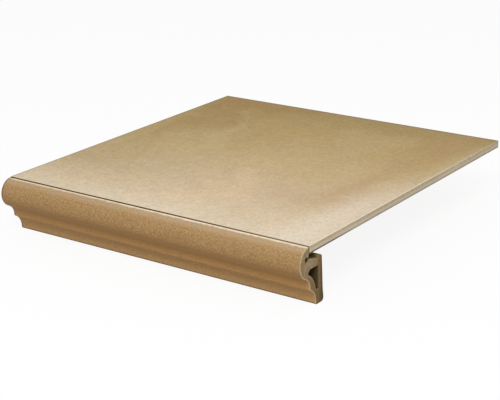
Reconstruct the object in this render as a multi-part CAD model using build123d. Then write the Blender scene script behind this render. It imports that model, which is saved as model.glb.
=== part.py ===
from build123d import *
from math import acos, atan2, cos, sin, sqrt
import os

# Stair tread tile, in millimetres: a thin pressed slab glued to the rounded lip of an extruded nosing.
# +X runs along the step, +Y goes back into the step and +Z is up. The origin is the step's edge at
# mid width: the slab beds at Z = 0, and the nosing reaches back to the riser's plane at Y = 0.
# In the nosing's section, "back" counts from the lip's rear face and "drop" from the top of the slab.

# Slab
width = 330.0
slab_depth = 335.0
slab_thickness = 7.0
slab_top_round = 0.4
slab_corner_round = 0.5
slab_bottom_arris = 0.4

# Relief on the underside, for the adhesive bed
relief_margin = 9.0
relief_pitch = 19.5
relief_rib = 2.5
relief_depth = 0.6

# Glued joint between the lip and the slab
joint_gap = 0.8
joint_bead_height = 2.1
joint_bead_hollow = 0.15

# Lobe at the front, and the lip that it ends in
overhang = 13.1
lobe_radius = 14.1
lip_sink = 0.3
lip_arris = 1.3
bore_radius = 1.6
bore_skin = 7.95
bore_above_centre = 3.9

# Mouldings under the lobe: a cove, a short flat neck and a second cove
cove_radius = 10.2
neck_back = 0.95
neck_height = 1.95
neck_round = 1.2
lower_cove_radius = 13.8
lower_cove_step = 8.25

# Foot of the nosing
toe_land = 0.65
toe_round = 2.1
foot_depth = 11.7
heel_round = 3.5
heel_land = 1.1
heel_height = 9.9
heel_flare = 0.8
back_lean = 1.3
back_bend_round = 15.0
heel_bend_round = 5.0

# Mortar channel behind the lip, and the upstand that closes it
channel_undercut = 0.9
channel_radius = 1.7
channel_clearance = 2.3
channel_fall = 2.9
upstand_gap = 5.3
upstand_top = 5.9
upstand_round = 2.2
upstand_inner_lean = 0.6
upstand_inner_round = 0.5

# Hollow cell through the nosing
web = 6.3
cell_back_wall = 5.9
cell_floor = 13.15
cell_face_radius = 20.6
cell_nose_back = -1.7
cell_nose_drop = 3.5
cell_top_start = 1.6
cell_foot_width = 3.3
cell_foot_round = 1.5
cell_corner_round = 0.7

# Places that follow from the sizes above
foot_front_back = neck_back + lower_cove_step
riser_back = foot_front_back + foot_depth
upstand_rear_back = riser_back - heel_flare - back_lean
upstand_front_back = upstand_rear_back - upstand_top
upstand_drop = slab_thickness + upstand_gap


def place(back, drop):
    """A point of the nosing's section, as (Y, Z) of the model."""
    return Vector(back - riser_back, slab_thickness - drop)


def towards(centre, radius, target):
    """The point of a circle that faces a target."""
    return centre + (target - centre).normalized() * radius


def touch(centre, radius, target):
    """The point where the lower tangent from a target behind a circle touches it."""
    line = target - centre
    turn = atan2(line.Y, line.X) - acos(radius / line.length)
    return centre + Vector(cos(turn), sin(turn)) * radius


def round_off(face, corner, radius):
    """Round one corner of a section."""
    return fillet(face.vertices().sort_by_distance(Vector(corner.X, corner.Y))[0], radius)


# Outline of the nosing: circles and corners
lobe = place(lobe_radius - overhang, lip_sink + lobe_radius)
lobe_front = lobe - Vector(lobe_radius, 0)

arris_reach = lobe_radius - lip_arris
arris_rise = sqrt(arris_reach**2 - (lip_arris + lobe_radius - overhang) ** 2)
arris = Vector(place(-lip_arris, 0).X, lobe.Y + arris_rise)
arris_start = towards(lobe, lobe_radius, arris)
arris_end = arris + Vector(lip_arris, 0)
arris_middle = towards(arris, lip_arris, arris + Vector(1, 1))

cove_x = place(neck_back, 0).X - cove_radius
cove = Vector(cove_x, lobe.Y - sqrt((lobe_radius + cove_radius) ** 2 - (lobe.X - cove_x) ** 2))
cove_start = towards(lobe, lobe_radius, cove)
cove_end = cove + Vector(cove_radius, 0)
cove_middle = towards(cove, cove_radius, (cove_start + cove_end) * 0.5)
neck_foot = cove_end - Vector(0, neck_height)

lower_x = place(foot_front_back, 0).X - lower_cove_radius
lower_cove = Vector(lower_x, neck_foot.Y - sqrt(lower_cove_radius**2 - (neck_foot.X - lower_x) ** 2))
lower_end = lower_cove + Vector(lower_cove_radius, 0)
lower_middle = towards(lower_cove, lower_cove_radius, (neck_foot + lower_end) * 0.5)

foot_z = lower_end.Y - toe_land - toe_round
toe = Vector(lower_end.X, foot_z)
heel = Vector(0, foot_z)
heel_bend = heel + Vector(0, heel_round + heel_land)
back_bend = Vector(-heel_flare, foot_z + heel_height)

upstand_rear = place(upstand_rear_back, upstand_drop)
upstand_front = place(upstand_front_back, upstand_drop)
channel = place(channel_radius - channel_undercut, slab_thickness + channel_clearance)
channel_low_drop = slab_thickness + channel_clearance + channel_radius + channel_fall
channel_low = place(upstand_front_back - upstand_inner_lean, channel_low_drop)
channel_floor = touch(channel, channel_radius, channel_low)
channel_front = channel - Vector(channel_radius, 0)
channel_mouth = Vector(arris_end.X, channel.Y + sqrt(channel_radius**2 - (arris_end.X - channel.X) ** 2))

outline = [
    ThreePointArc(arris_start, lobe_front, cove_start),
    ThreePointArc(cove_start, cove_middle, cove_end),
    Line(cove_end, neck_foot),
    ThreePointArc(neck_foot, lower_middle, lower_end),
    Polyline(
        lower_end, toe, heel, heel_bend, back_bend, upstand_rear, upstand_front, channel_low, channel_floor
    ),
    ThreePointArc(channel_floor, channel_front, channel_mouth),
    Line(channel_mouth, arris_end),
    ThreePointArc(arris_end, arris_middle, arris_start),
]
section = make_face(outline)
roundings = [
    (neck_foot, neck_round),
    (toe, toe_round),
    (heel, heel_round),
    (heel_bend, heel_bend_round),
    (back_bend, back_bend_round),
    (upstand_rear, upstand_round),
    (upstand_front, upstand_inner_round),
    (channel_low, upstand_inner_round),
]
for corner, radius in roundings:
    section = round_off(section, corner, radius)

# Hollow cell: its front follows the coves, its back is upright
cell_roof = channel_low.Y - web
cell_base = foot_z + cell_floor
cell_rear = upstand_rear.X - cell_back_wall
cell_nose = Vector(place(cell_nose_back, 0).X, cell_roof - cell_nose_drop)
cell_top = Vector(place(cell_top_start, 0).X, cell_roof)
cell_foot = Vector(cell_rear - cell_foot_width, cell_base)
cell_chord = cell_foot - cell_nose
cell_bulge = cell_face_radius - sqrt(cell_face_radius**2 - (cell_chord.length / 2) ** 2)
cell_side = Vector(-cell_chord.Y, cell_chord.X).normalized()
cell_middle = (cell_nose + cell_foot) * 0.5 + cell_side * cell_bulge
cell = make_face([
    Polyline(cell_nose, cell_top, Vector(cell_rear, cell_roof), Vector(cell_rear, cell_base), cell_foot),
    ThreePointArc(cell_foot, cell_middle, cell_nose),
])
cell_roundings = [
    (cell_nose, cell_corner_round),
    (cell_top, cell_corner_round),
    (Vector(cell_rear, cell_roof), cell_corner_round),
    (Vector(cell_rear, cell_base), cell_foot_round),
    (cell_foot, cell_foot_round),
]
for corner, radius in cell_roundings:
    cell = round_off(cell, corner, radius)

# Small round core hole in the lobe
bore = Vector(lobe_front.X + bore_skin + bore_radius, lobe.Y + bore_above_centre)
section -= cell
section -= Pos(bore) * Circle(bore_radius)


def along_step(sketch):
    """Carry a section in the YZ plane along the whole width of the step."""
    return extrude(Plane.YZ * sketch, amount=width / 2, both=True)


def make_nosing():
    """One extrusion: lobe, coves, foot, upstand, channel and the two hollows."""
    return along_step(section)


def make_bead():
    """Adhesive between the lip and the slab's edge, hollow at its top and bottom."""
    front = arris_end
    rear = front + Vector(joint_gap, 0)
    down = Vector(0, -joint_bead_height)
    hollow = Vector(0, -joint_bead_hollow)
    middle = (front + rear) * 0.5
    bead = make_face([
        ThreePointArc(front, middle + hollow, rear),
        Line(rear, rear + down),
        ThreePointArc(rear + down, middle + down - hollow, front + down),
        Line(front + down, front),
    ])
    return along_step(bead)


def relief_pockets(slab_middle_y):
    """Shallow square pockets in a grid on the underside, inside a flat margin, with a rib on the middle."""
    pocket = relief_pitch - relief_rib
    across = 2 * int((width / 2 - relief_margin) // relief_pitch)
    deep = 2 * int((slab_depth / 2 - relief_margin) // relief_pitch)
    grid = GridLocations(relief_pitch, relief_pitch, across, deep)
    pockets = Sketch() + grid * Rectangle(pocket, pocket)
    return extrude(Pos(0, slab_middle_y) * pockets, amount=relief_depth)


def make_slab():
    """Pressed slab with rounded top edges, a small arris below and the relief on its underside."""
    front_y = arris_end.X + joint_gap
    middle_y = front_y + slab_depth / 2
    slab = Pos(0, middle_y, slab_thickness / 2) * Box(width, slab_depth, slab_thickness)
    slab = fillet(slab.edges().filter_by(Axis.Z), slab_corner_round)
    slab = fillet(slab.faces().sort_by(Axis.Z)[-1].edges(), slab_top_round)
    slab = chamfer(slab.faces().sort_by(Axis.Z)[0].edges(), slab_bottom_arris)
    return slab - relief_pockets(middle_y)


os.makedirs("parts", exist_ok=True)
pieces = {
    "tread_slab": make_slab(),
    "nosing_profile": make_nosing(),
    "joint_adhesive": make_bead(),
}
for name, piece in pieces.items():
    export_step(piece, f"parts/{name}.step")
    box = piece.bounding_box()
    print(f"{name}: {box.size}, from {box.min}")
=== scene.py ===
from math import radians

import bpy
import numpy as np
from mathutils import Euler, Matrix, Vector
from mathutils.geometry import delaunay_2d_cdt


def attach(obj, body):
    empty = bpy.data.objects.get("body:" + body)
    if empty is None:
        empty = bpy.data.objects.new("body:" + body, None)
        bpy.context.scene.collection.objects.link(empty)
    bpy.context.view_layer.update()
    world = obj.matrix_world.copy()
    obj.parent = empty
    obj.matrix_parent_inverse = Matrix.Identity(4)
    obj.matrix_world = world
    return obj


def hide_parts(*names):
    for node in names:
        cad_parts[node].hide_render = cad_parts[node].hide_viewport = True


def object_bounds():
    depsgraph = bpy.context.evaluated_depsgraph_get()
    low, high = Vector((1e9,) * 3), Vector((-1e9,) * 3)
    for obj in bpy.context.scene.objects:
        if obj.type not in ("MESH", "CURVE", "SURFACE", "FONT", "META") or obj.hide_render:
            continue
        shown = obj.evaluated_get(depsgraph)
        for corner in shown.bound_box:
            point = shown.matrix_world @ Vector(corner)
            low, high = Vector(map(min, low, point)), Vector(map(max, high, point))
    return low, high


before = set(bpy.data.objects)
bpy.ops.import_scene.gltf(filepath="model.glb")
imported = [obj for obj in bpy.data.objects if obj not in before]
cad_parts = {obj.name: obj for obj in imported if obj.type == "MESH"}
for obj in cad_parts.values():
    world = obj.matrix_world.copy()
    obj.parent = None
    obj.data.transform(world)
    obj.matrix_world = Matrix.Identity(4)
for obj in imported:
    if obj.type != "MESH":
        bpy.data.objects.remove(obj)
cad_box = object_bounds()

# Lengths below are in millimetres and turn into metres where a mesh or a material is made.
# In a section of the nosing a place is one complex number: Y is its real part, Z the imaginary one.
MM = 0.001

# Slab
WIDTH = 330.0
HALF_WIDTH = WIDTH / 2
SLAB_FRONT = -20.1
SLAB_REAR = 314.9
SLAB_TOP = 7.0
SLAB_CORNER = 0.5
TOP_ROUND = 0.4
BOTTOM_ROUND = 0.4
POCKET_PITCH = 19.5
POCKET_HALF = 8.5
POCKET_COUNT = 16
POCKET_DEPTH = 0.6
POCKET_DRAFT = 0.35
POCKET_CORNER = 2.0
SLAB_SWAY = 0.12
SLAB_SWAY_MARGIN = 12

# Nosing: the circles of its section, and the corners of its straight runs
LOBE, LOBE_RADIUS = -19.9 - 7.4j, 14.1
LIP_REAR = -20.9
LIP_ARRIS, LIP_ARRIS_RADIUS = -22.0 + 5.43j, 1.1
BORE, BORE_RADIUS = -24.45 - 3.5j, 1.6
COVE, COVE_RADIUS = -30.15 - 29.43j, 10.2
NECK = -19.95
NECK_ROUND = 1.2
LOWER_COVE, LOWER_COVE_RADIUS = -25.5 - 44.02j, 13.8
TOE, TOE_ROUND = -11.7 - 46.767j, 2.1
HEEL, HEEL_ROUND = 0 - 46.767j, 3.5
HEEL_BEND, HEEL_BEND_ROUND = 0 - 42.167j, 5.0
BACK_BEND, BACK_BEND_ROUND = -0.8 - 36.867j, 15.0
UPSTAND_REAR, UPSTAND_ROUND = -2.1 - 5.3j, 2.2
UPSTAND_FRONT, UPSTAND_INNER_ROUND = -8.0 - 5.3j, 0.5
CHANNEL_LOW = -8.6 - 6.9j
CHANNEL, CHANNEL_RADIUS = -20.1 - 2.3j, 1.7
MOUTH_ROUND = 0.45

# Hollow cell through the nosing
CELL_NOSE = -22.6 - 16.7j
CELL_TOP = -19.3 - 13.2j
CELL_REAR_TOP = -8.0 - 13.2j
CELL_REAR_FOOT = -8.0 - 33.617j
CELL_FOOT = -11.3 - 33.617j
CELL_FACE, CELL_FACE_RADIUS = -31.85 - 35.11j, 20.6
CELL_CORNER_ROUND = 0.7
CELL_FOOT_ROUND = 1.5

# Glued joint: the bead reaches a trace into the lip and into the slab. Near the left end its top rises,
# and the three last numbers are how high, over what length, and how far from the end that starts.
BEAD_FRONT, BEAD_REAR = -20.98, -20.02
BEAD_CREST, BEAD_TOP, BEAD_BOTTOM = -20.96, 5.85, 3.15
BEAD_HOLLOW = 0.15
BEAD_SHOULDER = 5
RISE, RISE_LENGTH, RISE_START = 0.8, 6, 8

# Rounding of the cut ends, distance between sections along the step, turn between the points of an arc
CUT_ARRIS = 0.25
STEP_PITCH = 5.0
ARC_STEP = 9

# Slow unevenness: how many waves it adds up, and the shortest and longest of them
WAVES = 6
WAVE_LENGTHS = 28, 140

# Clouds in the slab's glaze: place of the middle, half width, half depth, strength and colour
TREAD_CLOUDS = [
    (-110, 300, 90, 60, 0.45, (150, 98, 30)),
    (-125, 235, 40, 75, 0.45, (152, 106, 42)),
    (-130, 140, 36, 100, 0.15, (160, 130, 66)),
    (-98, 170, 24, 110, 0.2, (204, 182, 134)),
    (-40, 205, 60, 50, 0.3, (176, 144, 88)),
    (64, 250, 44, 60, 0.35, (186, 162, 116)),
    (-72, 78, 40, 45, 0.35, (206, 188, 152)),
    (22, 62, 34, 50, 0.4, (224, 192, 152)),
    (92, 76, 30, 50, 0.3, (196, 160, 128)),
]


def arc(centre, radius, first, last):
    """Centre plus radius times the direction at evenly spread angles, in degrees, from first to last."""
    count = 3 + int(abs(last - first) / ARC_STEP)
    return centre + radius * np.exp(1j * np.radians(np.linspace(first, last, count)))


def ease(before, corner, after, radius):
    """Round a corner between two straight runs: the circle touches both, on the inner side of the bend."""
    way_in = (corner - before) / abs(corner - before)
    way_out = (after - corner) / abs(after - corner)
    bend = np.angle(way_out / way_in)
    side = 1j * np.sign(bend) * way_in
    centre = corner - way_in * radius * np.tan(abs(bend) / 2) + side * radius
    first = np.degrees(np.angle(-side))
    return arc(centre, radius, first, first + np.degrees(bend))


def meet(line, centre, radius, edge, side):
    """Round the edge where an upright run at Y = line meets a hollow circle: the small circle of radius
    edge lies on the given side of the run, and touches the hollow circle from outside."""
    y = line + side * edge
    reach = radius + edge
    small = y + 1j * (centre.imag + np.sqrt(reach**2 - (y - centre.real) ** 2))
    return small, np.degrees(np.angle(small - centre))


def loop(pieces, pitch=1.6):
    """Join arcs end to end into a closed loop, and divide each straight run into steps under the pitch."""
    points = np.concatenate(pieces)
    following = np.roll(points, -1)
    gap = abs(following - points)
    points, following, gap = points[gap > 1e-6], following[gap > 1e-6], gap[gap > 1e-6]
    steps = np.ceil(gap / pitch).astype(int)
    start = np.repeat(points, steps)
    share = np.arange(steps.sum()) - np.repeat(np.cumsum(steps) - steps, steps)
    return start + np.repeat((following - points) / steps, steps) * share


def nosing_outline():
    """Outer loop of the nosing's section, turning to the left all the way: lip, lobe, two coves with a
    flat neck between them, foot, rear face, upstand and the channel behind the lip."""
    crown = np.degrees(np.angle(LIP_ARRIS - LOBE))
    cove_start = np.degrees(np.angle(COVE - LOBE))
    neck, neck_angle = meet(NECK, LOWER_COVE, LOWER_COVE_RADIUS, NECK_ROUND, 1)
    mouth, mouth_angle = meet(LIP_REAR, CHANNEL, CHANNEL_RADIUS, MOUTH_ROUND, -1)
    floor = CHANNEL_LOW - CHANNEL
    floor_angle = np.degrees(np.angle(floor) - np.arccos(CHANNEL_RADIUS / abs(floor)))
    touch = CHANNEL + CHANNEL_RADIUS * np.exp(1j * np.radians(floor_angle))
    return loop([
        arc(LIP_ARRIS, LIP_ARRIS_RADIUS, 0, crown),
        arc(LOBE, LOBE_RADIUS, crown, cove_start % 360)[1:],
        arc(COVE, COVE_RADIUS, cove_start + 180, 0)[1:],
        arc(neck, NECK_ROUND, 180, neck_angle + 180),
        arc(LOWER_COVE, LOWER_COVE_RADIUS, neck_angle, 0)[1:],
        ease(LOWER_COVE + LOWER_COVE_RADIUS, TOE, HEEL, TOE_ROUND),
        ease(TOE, HEEL, HEEL_BEND, HEEL_ROUND),
        ease(HEEL, HEEL_BEND, BACK_BEND, HEEL_BEND_ROUND),
        ease(HEEL_BEND, BACK_BEND, UPSTAND_REAR, BACK_BEND_ROUND),
        ease(BACK_BEND, UPSTAND_REAR, UPSTAND_FRONT, UPSTAND_ROUND),
        ease(UPSTAND_REAR, UPSTAND_FRONT, CHANNEL_LOW, UPSTAND_INNER_ROUND),
        ease(UPSTAND_FRONT, CHANNEL_LOW, touch, UPSTAND_INNER_ROUND),
        arc(CHANNEL, CHANNEL_RADIUS, floor_angle % 360, mouth_angle),
        arc(mouth, MOUTH_ROUND, mouth_angle - 180, 0),
    ])


def cell_outline():
    """Loop of the hollow cell, turning to the right: nose, top, upright back and foot, with a front side
    that bulges up and back into the cell. That side's arc stops short of both corners, for their rounds."""
    chord = CELL_FOOT - CELL_NOSE
    sink = np.sqrt(CELL_FACE_RADIUS**2 - abs(chord) ** 2 / 4)
    centre = (CELL_NOSE + CELL_FOOT) / 2 - 1j * chord / abs(chord) * sink
    first, last = np.degrees(np.angle(np.array([CELL_FOOT, CELL_NOSE]) - centre))
    face = arc(centre, CELL_FACE_RADIUS, last - 3.5, first + 4.5)
    return loop([
        ease(face[0], CELL_NOSE, CELL_TOP, CELL_CORNER_ROUND),
        ease(CELL_NOSE, CELL_TOP, CELL_REAR_TOP, CELL_CORNER_ROUND),
        ease(CELL_TOP, CELL_REAR_TOP, CELL_REAR_FOOT, CELL_CORNER_ROUND),
        ease(CELL_REAR_TOP, CELL_REAR_FOOT, CELL_FOOT, CELL_FOOT_ROUND),
        ease(CELL_REAR_FOOT, CELL_FOOT, face[-1], CELL_FOOT_ROUND),
        face[::-1],
    ])


def outward(points):
    """Unit normals of a loop: its tangent, from the point before to the point after, turned to the right."""
    tangent = np.roll(points, -1) - np.roll(points, 1)
    return -1j * tangent / abs(tangent)


def sway(across, along, seed, size):
    """Slow unevenness from 0 to size: a mean of sine waves whose lengths, across and along, and phases are
    drawn at random from the seed."""
    draw = np.random.default_rng(seed)
    lengths = draw.uniform(*WAVE_LENGTHS, (WAVES, 2))
    phases = draw.uniform(0, 2 * np.pi, WAVES)
    total = sum(
        np.sin(2 * np.pi * (across / a + along / b) + p) for (a, b), p in zip(lengths, phases)
    )
    return size * (0.5 + total / (2 * WAVES))


def stations(half, arris):
    """Places along the step: a quarter round at each end, closely set, and even steps between them.
    Each has its shrink, the arris times one minus the cosine of the quarter round's angle."""
    angle = np.radians(np.linspace(90, 0, 5))
    end = half - arris * (1 - np.sin(angle))
    middle = np.linspace(-end[-1], end[-1], int(2 * half / STEP_PITCH) + 1)
    shrink = arris * (1 - np.cos(angle))
    x = np.concatenate([-end, middle[1:-1], end[::-1]])
    return x, np.concatenate([shrink, 0 * middle[1:-1], shrink[::-1]])


def carry(points, half, arris, wave=0.0, seed=0):
    """A closed loop carried along X: row k of the grid is station k, and each point moves along the
    loop's normal by the station's shrink and a slow wave, so that a long form isn't dead straight."""
    x, shrink = stations(half, arris)
    normal = outward(points)
    inset = shrink[:, None] + sway(x[:, None], (points.real - points.imag)[None, :], seed, wave)
    section = points[None, :] - normal[None, :] * inset
    return np.stack([np.repeat(x[:, None], len(points), 1), section.real, section.imag], -1)


def tube_faces(rows, columns, first):
    """Quads of a grid whose rows close on themselves, facing out of a loop that turns to the left."""
    here = first + np.arange(columns) + columns * np.arange(rows - 1)[:, None]
    ahead = first + np.roll(np.arange(columns), -1) + columns * np.arange(rows - 1)[:, None]
    return np.stack([here, ahead, ahead + columns, here + columns], -1).reshape(-1, 4)


def winding(points, places):
    """Turns that a loop makes round each place: the sum of the angles between its points, over a circle."""
    from_place = points[None, :] - places[:, None]
    return np.round(np.angle(np.roll(from_place, -1, 1) / from_place).sum(1) / (2 * np.pi))


def cut_end(loops, pitch):
    """Triangles that fill a section between its outer loop and its holes, over the loops' own points and
    a grid of inner points. Returns the inner points and the triangles, which face +X."""
    rim = np.concatenate(loops)
    lengths = [len(points) for points in loops]
    firsts = np.cumsum([0] + lengths[:-1])
    edges = np.concatenate([
        first + np.stack([np.arange(length), np.roll(np.arange(length), -1)], -1)
        for first, length in zip(firsts, lengths)
    ])
    y = np.arange(rim.real.min(), rim.real.max(), pitch)
    z = np.arange(rim.imag.min(), rim.imag.max(), pitch)
    inner = (y[None, :] + 1j * z[:, None]).ravel()
    inner = inner[sum(winding(points, inner) for points in loops) > 0.5]
    clear = abs(inner[:, None] - rim[None, :]).min(1) > 0.6 * pitch
    inner = inner[clear]
    places = np.concatenate([rim, inner])
    flat = np.stack([places.real, places.imag], -1)
    found = delaunay_2d_cdt(flat.tolist(), edges.tolist(), [], 0, 1e-7)
    source = np.array([ids[0] for ids in found[3]])
    triangles = source[np.array(found[2])]
    middles = places[triangles].mean(1)
    inside = sum(winding(points, middles) for points in loops) > 0.5
    return inner, triangles[inside]


def make_piece(name, corners, faces, material, node, slot):
    """A mesh from its corners, in millimetres, and its faces, that takes the place of a CAD node. Edges
    that bend by more than 38 degrees stay sharp."""
    mesh = bpy.data.meshes.new(name)
    mesh.from_pydata(corners * MM, [], faces)
    mesh.polygons.foreach_set("use_smooth", np.ones(len(mesh.polygons), bool))
    mesh.set_sharp_from_angle(angle=radians(38))
    mesh.materials.append(material)
    piece = bpy.data.objects.new(name, mesh)
    bpy.context.scene.collection.objects.link(piece)
    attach(piece, "root")
    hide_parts(node)
    return piece


def extruded(loops, half, arris, pitch, wave, seed):
    """A section with its holes, carried along the step, with both cut ends filled. The pitch is that of the
    points inside the ends, and the wave and its seed are for the outer loop alone."""
    grids = [carry(points, half, arris, wave if k == 0 else 0.0, seed) for k, points in enumerate(loops)]
    ends = [[grid[row, :, 1] + 1j * grid[row, :, 2] for grid in grids] for row in (0, -1)]
    faces, corners, first = [], [], 0
    rim_first = []
    for grid in grids:
        rows, columns = grid.shape[:2]
        faces += tube_faces(rows, columns, first).tolist()
        rim_first.append((first, first + (rows - 1) * columns, columns))
        corners.append(grid.reshape(-1, 3))
        first += rows * columns
    for row, (side, flip) in enumerate(((-1, True), (1, False))):
        inner, triangles = cut_end(ends[row], pitch)
        rim = np.concatenate([start[row] + np.arange(start[2]) for start in rim_first])
        numbers = np.concatenate([rim, first + np.arange(len(inner))])
        triangles = numbers[triangles]
        faces += (triangles[:, ::-1] if flip else triangles).tolist()
        corners.append(np.stack([np.full(len(inner), side * half), inner.real, inner.imag], -1))
        first += len(inner)
    return np.concatenate(corners), faces


def pocket_lines(half):
    """Grid lines across the slab's flat core: at its edges, in its margin, and at each pocket's two rims,
    the feet of its drafted walls, the start of its rounded corners and its middle."""
    rims = [POCKET_HALF, POCKET_HALF - POCKET_DRAFT, POCKET_HALF - POCKET_CORNER]
    middles = POCKET_PITCH * (np.arange(POCKET_COUNT) - (POCKET_COUNT - 1) / 2)
    lines = (middles[:, None] + np.array([-r for r in rims] + [0] + rims[::-1])).ravel()
    margin = np.linspace(half, lines[-1], 4)[:-1]
    return np.concatenate([-margin, lines, margin[::-1]])


def pocket_depth(x, y):
    """Depth of the underside: within a pocket, the distance from its rounded square rim over the draft,
    held between 0 and 1, times the full depth. x and y count from the slab's middle."""
    nearest = [(c / POCKET_PITCH) % 1 - 0.5 for c in (x, y)]
    over = [np.maximum(abs(c) * POCKET_PITCH - POCKET_HALF + POCKET_CORNER, 0) for c in nearest]
    field = (abs(x) < POCKET_PITCH * POCKET_COUNT / 2) & (abs(y) < POCKET_PITCH * POCKET_COUNT / 2)
    return POCKET_DEPTH * field * np.clip((POCKET_CORNER - np.hypot(*over)) / POCKET_DRAFT, 0, 1)


def slab_rim(x, y):
    """The rounded edge of the slab, carried round its flat core: at each place of the core's edge the
    profile goes straight out, and at a corner it fans over a quarter turn. Rows go from the underside up."""
    sides = [x + 1j * y[0], x[-1] + 1j * y, x[::-1] + 1j * y[-1], x[0] + 1j * y[::-1]]
    fan = 90 * np.arange(1, 5) / 5
    place = np.concatenate([np.append(side, np.full(4, side[-1])) for side in sides])
    way = np.concatenate([
        np.append(np.full(len(side), turn), turn + fan) for side, turn in zip(sides, (-90, 0, 90, 180))
    ])
    low, high = SLAB_CORNER - BOTTOM_ROUND, SLAB_CORNER - TOP_ROUND
    profile = np.concatenate([
        [0j],
        arc(low + 1j * BOTTOM_ROUND, BOTTOM_ROUND, -90, 0),
        arc(high + 1j * (SLAB_TOP - TOP_ROUND), TOP_ROUND, 0, 90),
        [1j * SLAB_TOP],
    ])
    edge = place[None, :] + profile.real[:, None] * np.exp(1j * np.radians(way))[None, :]
    height = np.repeat(profile.imag[:, None], len(place), 1)
    return np.stack([edge.real, edge.imag, height], -1)


def slab_skin():
    """The slab as one closed skin: a top that sways by a tenth of a millimetre, an underside with its
    relief, both on the same grid lines, and the rim between them. Points that coincide are joined."""
    middle = (SLAB_FRONT + SLAB_REAR) / 2
    x = pocket_lines(HALF_WIDTH - SLAB_CORNER)
    y = pocket_lines((SLAB_REAR - SLAB_FRONT) / 2 - SLAB_CORNER)
    across, along = np.meshgrid(x, y, indexing="ij")
    from_edge = np.minimum(x[-1] - abs(across), y[-1] - abs(along))
    dip = sway(across, along, 5, SLAB_SWAY) * np.clip(from_edge / SLAB_SWAY_MARGIN, 0, 1)
    top = np.stack([across, along + middle, SLAB_TOP - dip], -1)
    under = np.stack([across, along + middle, pocket_depth(across, along)], -1)
    rim = slab_rim(x, y + middle)
    rows, columns = across.shape
    corner = (np.arange(rows - 1)[:, None] * columns + np.arange(columns - 1)).ravel()
    up = corner[:, None] + np.array([0, columns, columns + 1, 1])
    down = up[:, ::-1] + rows * columns
    round_rim = tube_faces(rim.shape[0], rim.shape[1], 2 * rows * columns)
    corners = np.concatenate([part.reshape(-1, 3) for part in (top, under, rim)])
    joined, number = np.unique(np.round(corners, 5), axis=0, return_inverse=True)
    faces = number.reshape(-1)[np.concatenate([up, down, round_rim])]
    return joined, [tuple(dict.fromkeys(face)) for face in faces.tolist()]


def bead_outline():
    """Loop of the adhesive's section, turning left: its top and bottom are hollow by a half sine wave,
    and its top spreads a little over the lip's rounded edge."""
    share = np.linspace(0, 1, 7)
    hollow = BEAD_HOLLOW * np.sin(np.pi * share)
    top = BEAD_REAR + (BEAD_CREST - BEAD_REAR) * share + 1j * (BEAD_TOP - hollow)
    bottom = BEAD_FRONT + (BEAD_REAR - BEAD_FRONT) * share + 1j * (BEAD_BOTTOM + hollow)
    return loop([top, [BEAD_FRONT + 1j * LIP_ARRIS.imag], bottom], 0.7)


def bead():
    """The adhesive along the joint. Near its left end all that is above the shoulder rises by a straight
    ramp, nearly level with the slab, where it was wiped off."""
    corners, faces = extruded([bead_outline()], HALF_WIDTH, arris=0.04, pitch=0.5, wave=0.05, seed=23)
    ramp = np.clip((RISE_START - HALF_WIDTH - corners[:, 0]) / RISE_LENGTH, 0, 1)
    corners[:, 2] += RISE * ramp * (corners[:, 2] > BEAD_SHOULDER)
    return corners, faces


class Term:
    """An output of a shader node. Sums, differences, products, quotients and powers of terms and numbers
    add the Math nodes that work them out."""

    def __init__(self, nodes, socket):
        self.nodes, self.socket = nodes, socket

    def maths(self, operation, *values):
        return self.nodes.node("ShaderNodeMath", {"operation": operation}, dict(enumerate(values)))

    def __add__(self, other):
        return self.maths("ADD", self, other)

    def __sub__(self, other):
        return self.maths("SUBTRACT", self, other)

    def __rsub__(self, other):
        return self.maths("SUBTRACT", other, self)

    def __mul__(self, other):
        return self.maths("MULTIPLY", self, other)

    def __truediv__(self, other):
        return self.maths("DIVIDE", self, other)

    def __pow__(self, other):
        return self.maths("POWER", self, other)

    def __abs__(self):
        return self.maths("ABSOLUTE", self)

    __radd__ = __add__
    __rmul__ = __mul__

    def least(self, other):
        return self.maths("MINIMUM", self, other)

    def most(self, other):
        return self.maths("MAXIMUM", self, other)

    def fade(self, first, last):
        """0 up to first, 1 from last on and a smooth step between. The two may be in falling order."""
        settings = {"interpolation_type": "SMOOTHSTEP"}
        return self.nodes.node("ShaderNodeMapRange", settings, {"Value": self, 1: first, 2: last})

    def within(self, low, high, soft):
        """1 from low to high, and 0 from the softness outside them on."""
        return self.fade(low - soft, low) * self.fade(high + soft, high)


def tone(red, green, blue):
    """Colour values from 0 to 255, as a screen shows them, turned into the linear ones of a shader."""
    shown = np.array([red, green, blue]) / 255
    linear = np.where(shown > 0.04045, ((shown + 0.055) / 1.055) ** 2.4, shown / 12.92)
    return (*linear.tolist(), 1.0)


class Nodes:
    """The node tree of a material or of the surround."""

    def __init__(self, owner):
        owner.use_nodes = True
        self.owner, self.tree = owner, owner.node_tree
        self.tree.nodes.clear()

    def node(self, kind, settings, sockets, output=0):
        """Add a node: its settings come first, with a ramp's stops among them, then a value or a term for
        each socket that is named or numbered. Returns one of its outputs."""
        added = self.tree.nodes.new(kind)
        for name, value in settings.items():
            if name == "stops":
                self.set_stops(added.color_ramp.elements, value)
            else:
                setattr(added, name, value)
        for key, value in sockets.items():
            if isinstance(value, Term):
                self.tree.links.new(value.socket, added.inputs[key])
            else:
                added.inputs[key].default_value = value
        return Term(self, added.outputs[output]) if added.outputs else None

    @staticmethod
    def set_stops(elements, stops):
        """Fill a ramp from its places, in rising order, and their colours."""
        elements[0].position, elements[1].position = stops[0][0], stops[-1][0]
        for place, _ in stops[1:-1]:
            elements.new(place)
        for element, (_, colour) in zip(elements, stops):
            element.color = colour

    def seen(self):
        """1 for what the camera, gloss and clear things see, and 0 for light that spreads."""
        camera, glossy, clear = (
            self.node("ShaderNodeLightPath", {}, {}, f"Is {kind} Ray")
            for kind in ("Camera", "Glossy", "Transmission")
        )
        return camera.most(glossy).most(clear)


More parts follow.
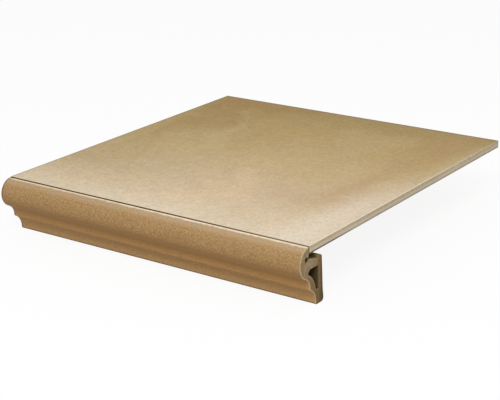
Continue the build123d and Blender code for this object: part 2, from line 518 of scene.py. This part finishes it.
class Finish(Nodes):
    """A material. Its places x, y and z are Object coordinates, in millimetres."""

    def __init__(self, name):
        super().__init__(bpy.data.materials.new(name))
        self.place = self.node("ShaderNodeTexCoord", {}, {}, "Object")
        self.x, self.y, self.z = (
            self.node("ShaderNodeSeparateXYZ", {}, {0: self.place}, axis) / MM for axis in "XYZ"
        )

    def blend(self, colour, other, share):
        """The first colour where the share is 0 and the other where it is 1."""
        return self.node("ShaderNodeMix", {"data_type": "RGBA"}, {0: share, 6: colour, 7: other}, 2)

    def tint(self, colour, level):
        """A colour made lighter or darker all over: each of its values times the level."""
        settings = {"operation": "SCALE"}
        return self.node("ShaderNodeVectorMath", settings, {0: colour, "Scale": level})

    def ramp(self, place, *stops):
        """A colour that runs through the stops: each is a place and a tone."""
        return self.node("ShaderNodeValToRGB", {"stops": stops}, {0: place})

    def cloud(self, grain, detail=3.0, roughness=0.5, distortion=0.0, stretch=(1, 1, 1)):
        """Noise from about -0.5 to 0.5 whose patches are the grain across, in millimetres."""
        sizes = [way / (grain * MM) for way in stretch]
        moved = self.node("ShaderNodeMapping", {}, {"Vector": self.place, "Scale": sizes})
        sockets = {
            "Vector": moved, "Scale": 1.0, "Detail": detail, "Roughness": roughness,
            "Distortion": distortion,
        }
        return self.node("ShaderNodeTexNoise", {}, sockets, "Fac") - 0.5

    def patch(self, x, y, half_width, half_depth):
        """A soft oval seen from above: 1 at its middle and 0 at its rim."""
        return (((self.x - x) / half_width) ** 2 + ((self.y - y) / half_depth) ** 2).fade(1.0, 0.0)

    def surface(self, colour, roughness, height, relief, **constants):
        """The shader: a colour, a roughness, and a bump whose height of 1 stands for the relief in mm."""
        bump = {"Height": height, "Distance": relief * MM, "Strength": 1.0}
        normal = self.node("ShaderNodeBump", {}, bump)
        sockets = {"Base Color": colour, "Roughness": roughness, "Normal": normal}
        sockets.update({name.replace("_", " "): value for name, value in constants.items()})
        shader = self.node("ShaderNodeBsdfPrincipled", {}, sockets)
        self.node("ShaderNodeOutputMaterial", {}, {"Surface": shader})
        return self.owner


def tread_finish():
    """Cloudy beige glaze on top, cream towards the front and right and ochre towards the back, the cream
    partly a painted sheen with a painted highlight along the right edge. Below it a bare edge in two tones
    with painted shade along its foot, adhesive wiped over the front rim and darkened there as painted shade
    of the joint, and a pale underside."""
    f = Finish("tread_glaze")
    slow = f.cloud(110, 3, 0.5, 0.8)
    drift = f.cloud(42, 4, 0.6, 0.4)
    wisp = f.cloud(36, 4, 0.6, 0.8, (1, 0.4, 1))
    mottle = f.cloud(13, 4, 0.6, 0.5)
    fleck = f.cloud(7, 3, 0.6)
    speck = f.cloud(2.6, 3, 0.8)

    # Ground tones from the front to the back, the cream at the front partly a painted sheen, and the clouds
    # over them
    inward = (f.y - SLAB_FRONT + 34 * drift + 22 * wisp + 8 * mottle) / (SLAB_REAR - SLAB_FRONT)
    glaze = f.ramp(
        inward, (0.0, tone(222, 204, 175)), (0.13, tone(213, 190, 156)), (0.24, tone(203, 179, 142)),
        (0.5, tone(192, 165, 116)), (0.78, tone(174, 145, 84)), (1.0, tone(154, 127, 64)),
    )
    aside, along = 190 * f.cloud(60, 3, 0.5), 220 * f.cloud(75, 3, 0.5)
    for x, y, half_width, half_depth, share, colour in TREAD_CLOUDS:
        glaze = f.blend(glaze, tone(*colour), f.patch(x + aside, y + along, half_width, half_depth) * share)
    left = (f.x + 60 * drift + 20 * wisp).fade(20, -170)
    glaze = f.blend(glaze, tone(148, 121, 50), left * (0.15 + 0.25 * f.y.fade(-10, 70)))

    # Brown streak that leans to the right, and beyond it the pale front corner, which is a painted sheen
    leaning = f.x - 106 - 0.09 * f.y + 30 * drift + 24 * wisp
    streak = leaning.within(0, 4, 26) * f.y.fade(30, 110)
    glaze = f.blend(glaze, tone(174, 136, 88), streak * 0.36)
    side = (leaning + 6 * mottle).fade(0, 42) * (f.y + 40 * slow).fade(205, 45)
    glaze = f.blend(glaze, tone(230, 214, 192), side * 0.75)
    # Painted highlight along the right edge, fading towards the back
    edge_highlight = f.x.fade(145, 167) * f.y.fade(330, 230)
    glaze = f.blend(glaze, tone(206, 190, 160), edge_highlight * 0.35)

    # Small clouds, stronger on the left, and fine dark and pale specks
    cloudy = 0.16 + 0.14 * f.x.fade(80, -20)
    glaze = f.tint(glaze, 1 + cloudy * mottle + 0.22 * fleck + 0.30 * speck)
    glaze = f.blend(glaze, tone(132, 118, 98), speck.fade(0.05, -0.3) * 0.25)
    glaze = f.blend(glaze, tone(238, 228, 206), speck.fade(-0.05, 0.3) * 0.14)

    # Darker rims at the back and left, paler ones at the front and right, the pale along the right edge a
    # painted highlight
    rim = f.y.fade(SLAB_REAR - 3.2, SLAB_REAR - 1.4).most(f.x.fade(2.2 - HALF_WIDTH, 0.8 - HALF_WIDTH))
    glaze = f.blend(glaze, tone(118, 96, 56), rim * 0.85)
    front_rim = f.y.fade(SLAB_FRONT + 1.3, SLAB_FRONT + 0.2)
    pale = (f.x.fade(HALF_WIDTH - 1.6, HALF_WIDTH - 0.5) * f.y.fade(420, 80)).most(front_rim)
    glaze = f.blend(glaze, tone(240, 224, 200), pale * 0.7)

    # Bare edge: body, skin above it and painted shade along its foot, stronger towards the front
    body = f.blend(tone(226, 210, 182), tone(212, 196, 168), f.cloud(3.0, 4, 0.65).fade(-0.2, 0.25))
    skin = f.blend(tone(208, 190, 160), tone(196, 178, 150), f.cloud(4.0).fade(-0.1, 0.1))
    edge = f.blend(body, skin, (f.z + 0.8 * f.cloud(12)).fade(3.7, 4.6))
    low = f.z.fade(1.9, 1.1) * f.z.fade(0.0, 0.05)
    edge = f.blend(edge, tone(124, 106, 80), low * (0.5 + 0.5 * f.y.fade(50, 10)))
    edge = f.tint(edge, 1 - 0.05 * f.y.fade(60, 300) + 0.10 * f.y.fade(170, 230) * f.z.fade(4.0, 5.2))
    edge = f.tint(edge, 1 + 0.05 * (f.y.within(32, 52, 18) + f.y.within(200, 222, 18)))

    shown = f.blend(edge, glaze, (f.z + 0.15 * f.cloud(4)).fade(SLAB_TOP - 0.4, SLAB_TOP - 0.2))
    # Adhesive wiped over the front rim, darkened as painted shade of the joint's groove, less so to the
    # right
    smear_and_groove_shade = f.y.fade(SLAB_FRONT + 0.35, SLAB_FRONT + 0.12)
    shown = f.blend(shown, tone(92, 68, 34), smear_and_groove_shade * (0.95 - 0.25 * f.x.fade(0, HALF_WIDTH)))
    gloss = 0.55 + 0.12 * slow + 0.15 * f.z.fade(SLAB_TOP - 0.5, SLAB_TOP - 1.0)
    height = f.cloud(1.1, 3, 0.6) + 0.4 * f.cloud(6, 2)
    return f.surface(shown, gloss, height, 0.035, Specular_IOR_Level=0.25)


def nosing_finish():
    """Caramel engobe with fine speckle on the moulded front, fading to cream on the lip, partly a painted
    sheen and highlight, over a bare grey-brown body that shows on the cut ends and the rear, and painted
    shade on the walls of the hollows."""
    f = Finish("nosing_engobe")
    across = [(f.y - c.real, f.z - c.imag) for c in (LOBE, COVE, LOWER_COVE, BORE)]
    from_lobe, from_cove, from_lower, from_bore = ((y * y + z * z) ** 0.5 for y, z in across)

    # Depth under the moulded front: under the lobe only as far down as the cove begins, else under the
    # nearer cove. The engobe is the first millimetre.
    to_cove = (COVE - LOBE) / abs(COVE - LOBE)
    behind_lobe = across[0][1] * to_cove.real - across[0][0] * to_cove.imag
    under_lobe = LOBE_RADIUS - from_lobe + 100 * behind_lobe.fade(-0.05, 0.05)
    under_coves = (from_cove - COVE_RADIUS).least(from_lower - LOWER_COVE_RADIUS)
    depth = under_lobe.least(under_coves)
    engobe = (depth + 0.3 * f.cloud(3)).fade(1.15, 0.85)

    # Engobe: speckle, then cream towards the joint, partly a painted sheen, with a painted highlight on the
    # lip's crown that grows towards the right, and warmer tones under the lobe
    speck = f.cloud(1.15, 2, 0.9)
    blotch = f.cloud(5.0, 3, 0.6)
    wide = f.cloud(45, 3, 0.5, 0.6)
    grain = 2.2 * (1 - 0.4 * f.z.fade(-13, -22)) * (1 - 0.15 * f.x.fade(0, 120))
    caramel = f.blend(tone(130, 94, 46), tone(210, 172, 122), 0.5 + grain * speck)
    caramel = f.blend(caramel, tone(196, 146, 96), blotch.fade(0.04, 0.2) * 0.15)
    lift = f.z + 0.8 * f.cloud(4)
    rightward = f.x.fade(-HALF_WIDTH, 60)
    caramel = f.blend(caramel, tone(210, 192, 162), lift.fade(1.8, 5.0) * (0.24 + 0.08 * rightward))
    # Painted highlight on the lip's crown and on its rounded rear next to the joint
    crown = lift.fade(5.75, 6.5) * (0.68 + 0.3 * rightward)
    crown = crown.most(f.y.fade(-22.0, -21.3) * f.z.fade(4.0, 5.0))
    caramel = f.blend(caramel, tone(255, 238, 208), crown)
    warm = f.z.fade(-3, -17) * f.z.fade(-42, -34)
    caramel = f.blend(caramel, tone(178, 118, 36), warm * 0.25)
    # Painted tint of the shade under the lobe: warmer and less grey
    caramel = f.blend(caramel, tone(176, 116, 18), f.z.within(-23, -16, 4) * 0.24)
    # Painted shade on the upper lobe and painted light on the lower coves, which even out the light from
    # above
    upper_shade = f.z.within(-2, 8, 10)
    foot = 0.22 * f.z.fade(-20, -27) + 0.03 * f.z.fade(-29, -36)
    caramel = f.tint(caramel, 1 - 0.12 * upper_shade + foot + 0.08 * wide)

    # Bare body: darker below and behind. On the cut ends it also darkens towards the rear margin.
    clay = f.blend(tone(170, 148, 114), tone(154, 130, 94), f.cloud(7, 4, 0.6).fade(-0.15, 0.15))
    low = (f.z + 2 * f.cloud(5)).fade(-12, -24).most((f.y + 1.5 * f.cloud(6)).fade(-14, -6))
    clay = f.blend(clay, tone(134, 108, 66), low * 0.85)
    end = abs(f.x).fade(HALF_WIDTH - 0.4, HALF_WIDTH - 0.2)
    clay = f.blend(clay, tone(112, 94, 60), f.z.fade(-31, -38) * end * 0.6)
    clay = f.blend(clay, tone(104, 78, 46), f.y.fade(-7.6, -6.4) * end * 0.35)
    back = (f.y - 0.03 * f.z + 0.6 * f.cloud(5)).fade(-4.0, -2.4)
    clay = f.blend(clay, tone(58, 42, 22), back * end * (0.45 + 0.4 * f.z.fade(-34, -14)))

    # Painted highlights on the cut ends along the cell's curved face and roof, a painted shadow along its
    # rear wall and painted shade in a ring round the core hole
    face_y, face_z = f.y - CELL_FACE.real, f.z - CELL_FACE.imag
    from_face = (face_y * face_y + face_z * face_z) ** 0.5
    face = from_face.within(CELL_FACE_RADIUS - 0.8, CELL_FACE_RADIUS - 0.3, 0.3)
    face = face * f.z.within(-33, -18, 1) * f.y.fade(-23, -22)
    wall_shadow = f.y.within(-8.2, -7.55, 0.2) * f.z.within(-33.0, -13.4, 0.4)
    roof_highlight = f.z.within(-13.0, -12.4, 0.3) * f.y.within(-19, -9, 1)
    clay = f.blend(clay, tone(180, 160, 122), face.most(roof_highlight) * end * 0.45)
    clay = f.blend(clay, tone(62, 46, 26), wall_shadow * end * 0.8)
    ring_shade = from_bore.fade(2.55, 1.9) * end
    clay = f.blend(clay, tone(58, 38, 14), ring_shade * 0.85)
    clay = f.tint(clay, 1 + 1.6 * f.cloud(2.2, 3, 0.8))

    # Painted shade on the walls of the cell, the core hole and the channel, behind the cut ends
    inner = abs(f.x).fade(HALF_WIDTH - 0.28, HALF_WIDTH - 0.5)
    deep = depth.fade(1.0, 1.6)
    cell = f.y.within(-23.5, -8.1, 0.3) * f.z.within(-33.9, -13.0, 0.3) * deep
    channel = f.y.within(-22.2, -8.1, 0.2) * f.z.within(-7.2, 4.5, 0.3) * deep
    bore_shade = from_bore.fade(2.4, 2.0)
    clay = f.blend(clay, tone(60, 46, 36), cell * inner)
    clay = f.blend(clay, tone(56, 36, 8), bore_shade * inner)
    clay = f.blend(clay, tone(106, 86, 60), channel * inner * 0.85)

    # Pale rim of engobe round the right end, brightened as a painted highlight, a darker one at the left,
    # and painted shade under the toe
    edge = end * f.x.fade(0, 1) * (0.9 - 0.5 * f.z.fade(-35, -40))
    rim = f.blend(caramel, tone(208, 182, 144), edge)
    rim = f.blend(rim, tone(96, 74, 46), f.x.fade(2.2 - HALF_WIDTH, 0.6 - HALF_WIDTH) * 0.85)
    shown = f.blend(clay, rim, engobe)
    # Painted shade on the toe's rounding, along the nosing's foot
    toe_shade = f.z.fade(-44.7, -45.5) * f.y.fade(-9.6, -10.2) * (1 - end)
    shown = f.blend(shown, tone(96, 66, 30), toe_shade * 0.8)
    gloss = 0.70 - 0.12 * engobe
    height = f.cloud(1.2, 3, 0.6) + 0.6 * f.cloud(4, 2, 0.5, 0, (0.2, 1, 1))
    return f.surface(shown, gloss, height, 0.05, Specular_IOR_Level=0.2)


def adhesive_finish():
    """Dark brown adhesive, dull and slightly grainy, and paler towards the right end."""
    f = Finish("joint_adhesive")
    colour = f.blend(tone(92, 66, 28), tone(70, 50, 20), f.cloud(1.2, 4, 0.7).fade(-0.15, 0.15))
    colour = f.blend(colour, tone(136, 108, 68), f.x.fade(30, HALF_WIDTH) * 0.7)
    gloss = 0.72 + 0.1 * f.cloud(0.7)
    return f.surface(colour, gloss, f.cloud(0.9, 3, 0.6), 0.06, Specular_IOR_Level=0.0)


def stage_finish(name, white):
    """Pale and plain. The camera and gloss see it nearly white, with what shadow falls on it left in."""
    f = Finish(name)
    seen = f.seen()
    colour = f.blend(tone(176, 176, 174), tone(252, 252, 252), seen)
    plain = f.node("ShaderNodeBsdfDiffuse", {}, {"Color": colour})
    glow = f.node("ShaderNodeEmission", {}, {"Color": (1, 1, 1, 1), "Strength": 1.0})
    shown = f.node("ShaderNodeMixShader", {}, {0: seen * white, 1: plain, 2: glow})
    clear = f.node("ShaderNodeBsdfTransparent", {}, {})
    below = f.node("ShaderNodeNewGeometry", {}, {}, "Backfacing")
    final = f.node("ShaderNodeMixShader", {}, {0: below, 1: shown, 2: clear})
    f.node("ShaderNodeOutputMaterial", {}, {"Surface": final})
    return f.owner


def lay_floor(z, reach=12):
    """A wide flat floor under the nosing's foot, from minus the reach to the reach both ways, in metres."""
    mesh = bpy.data.meshes.new("floor")
    corners = [(-reach, -reach, z), (reach, -reach, z), (reach, reach, z), (-reach, reach, z)]
    mesh.from_pydata(corners, [], [(0, 1, 2, 3)])
    mesh.materials.append(stage_finish("floor_white", white=0.9))
    floor = bpy.data.objects.new("floor", mesh)
    bpy.context.scene.collection.objects.link(floor)


def hang_lamp(name, place, target, size, power):
    """A square soft lamp that faces a target. The camera doesn't see it."""
    light = bpy.data.lights.new(name, "AREA")
    light.size, light.energy = size, power
    lamp = bpy.data.objects.new(name, light)
    lamp.location = place
    lamp.rotation_euler = (Vector(target) - Vector(place)).to_track_quat("-Z", "Y").to_euler()
    lamp.visible_camera = False
    bpy.context.scene.collection.objects.link(lamp)


def light_room(level):
    """A white surround: white for the camera and for gloss, and at the given level as light."""
    surround = Nodes(bpy.data.worlds.new("surround"))
    strength = level + (1 - level) * surround.seen()
    white = {"Color": (1, 1, 1, 1), "Strength": strength}
    shown = surround.node("ShaderNodeBackground", {}, white)
    surround.node("ShaderNodeOutputWorld", {}, {"Surface": shown})
    bpy.context.scene.world = surround.owner


make_piece("tread_slab_pressed", *slab_skin(), tread_finish(), "tread_slab", "slab_ceramic")
section = [nosing_outline(), cell_outline(), arc(BORE, BORE_RADIUS, 360, 0)[:-1]]
nosing = extruded(section, HALF_WIDTH, CUT_ARRIS, pitch=1.3, wave=0.1, seed=11)
make_piece("nosing_profile_fired", *nosing, nosing_finish(), "nosing_profile", "nosing_ceramic")
make_piece("joint_adhesive_bead", *bead(), adhesive_finish(), "joint_adhesive", "adhesive")

lay_floor(cad_box[0].z)
hang_lamp("key", (0.9, -1.25, 1.7), (0.0, 0.1, 0.0), size=1.2, power=31)
hang_lamp("fill", (-1.4, -1.0, 1.1), (0.0, 0.1, 0.0), size=1.4, power=3)
light_room(level=0.52)

scene = bpy.context.scene
scene.view_settings.view_transform = "Standard"
camera = bpy.data.objects.new("camera", bpy.data.cameras.new("camera"))
camera.data.sensor_width, camera.data.lens = 36.0, 96.974
camera.location = (0.71227, -0.84336, 0.39331)
camera.rotation_euler = Euler(map(radians, (70.6483, 1.3217, 35.8059)))
scene.collection.objects.link(camera)
scene.camera = camera
